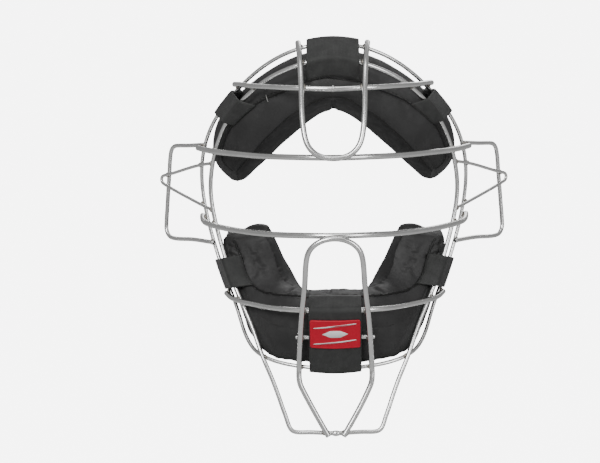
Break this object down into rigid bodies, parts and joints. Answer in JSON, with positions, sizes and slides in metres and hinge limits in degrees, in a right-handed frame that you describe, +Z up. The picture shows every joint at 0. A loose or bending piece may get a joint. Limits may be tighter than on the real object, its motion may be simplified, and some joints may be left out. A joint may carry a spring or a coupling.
{
  "type": "catchers mask",
  "caption": "Wire cage face mask with ear guards and a throat guard, and with padding at the forehead and jaw held by hook-and-loop straps.",
  "frame": {"origin": "middle of the bounding box, on the plane of symmetry", "axes": "+Z up to the forehead, -Y out of the front of the mask, +X to the wearer's left; x = 0 is the plane of symmetry"},
  "size_m": [0.2612, 0.1466, 0.2838],
  "materials": {
    "foam": "closed-cell foam",
    "hook_and_loop": "hook-and-loop pile",
    "label": "moulded label",
    "pad_cover": "smooth matte synthetic leather",
    "pad_liner": "napped lining",
    "satin_steel": "satin steel wire",
    "webbing": "woven webbing"
  },
  "bodies": {
    "mask": {"brow_bar": "satin_steel", "chin_loop_patch": "hook_and_loop", "chin_strap": "webbing", "ear_guard_left": "satin_steel", "ear_guard_right": "satin_steel", "forehead_loop_patch_left": "hook_and_loop", "forehead_loop_patch_right": "hook_and_loop", "forehead_pad_cover": "pad_cover", "forehead_pad_foam": "foam", "forehead_pad_liner": "pad_liner", "forehead_strap_left": "webbing", "forehead_strap_right": "webbing", "front_ring": "satin_steel", "harness_loop_left": "satin_steel", "harness_loop_right": "satin_steel", "jaw_loop_patch_left": "hook_and_loop", "jaw_loop_patch_right": "hook_and_loop", "jaw_pad_cover": "pad_cover", "jaw_pad_foam": "foam", "jaw_pad_liner": "pad_liner", "jaw_strap_left": "webbing", "jaw_strap_right": "webbing", "label_patch": "label", "lower_eye_bar": "satin_steel", "mouth_bar": "satin_steel", "nose_loop": "satin_steel", "rear_ring": "satin_steel", "strap_crossbar": "satin_steel", "throat_loop": "satin_steel", "top_loop_patch": "hook_and_loop", "top_strap": "webbing", "upper_eye_bar": "satin_steel"},
    "top_tab_end": {"top_tab": "webbing", "top_hook_patch": "hook_and_loop"},
    "chin_tab_end": {"chin_tab": "webbing", "chin_hook_patch": "hook_and_loop"},
    "forehead_tab_end_left": {"forehead_tab_left": "webbing", "forehead_hook_patch_left": "hook_and_loop"},
    "forehead_tab_end_right": {"forehead_tab_right": "webbing", "forehead_hook_patch_right": "hook_and_loop"},
    "jaw_tab_end_left": {"jaw_tab_left": "webbing", "jaw_hook_patch_left": "hook_and_loop"},
    "jaw_tab_end_right": {"jaw_tab_right": "webbing", "jaw_hook_patch_right": "hook_and_loop"}
  },
  "joints": [
    {"name": "top_tab_peel", "type": "hinge", "parent": "mask", "child": "top_tab_end", "pos_m": [0, -0.01152, 0.13917], "axis": [1, 0, 0], "range_deg": [0, 130]},
    {"name": "chin_tab_peel", "type": "hinge", "parent": "mask", "child": "chin_tab_end", "pos_m": [0, -0.03045, -0.09452], "axis": [-1, 0.0004, 0.0033], "range_deg": [0, 95]},
    {"name": "forehead_tab_peel_left", "type": "hinge", "parent": "mask", "child": "forehead_tab_end_left", "pos_m": [0.07752, 0.01407, 0.09336], "axis": [0.5532, 0.4298, -0.7136], "range_deg": [0, 130]},
    {"name": "forehead_tab_peel_right", "type": "hinge", "parent": "mask", "child": "forehead_tab_end_right", "pos_m": [-0.07752, 0.01407, 0.09336], "axis": [0.5532, -0.4298, 0.7136], "range_deg": [0, 130]},
    {"name": "jaw_tab_peel_left", "type": "hinge", "parent": "mask", "child": "jaw_tab_end_left", "pos_m": [0.08126, 0.02413, -0.03421], "axis": [-0.3326, -0.3722, -0.8665], "range_deg": [0, 130]},
    {"name": "jaw_tab_peel_right", "type": "hinge", "parent": "mask", "child": "jaw_tab_end_right", "pos_m": [-0.08126, 0.02413, -0.03421], "axis": [-0.3326, 0.3722, 0.8665], "range_deg": [0, 130]}
  ]
}
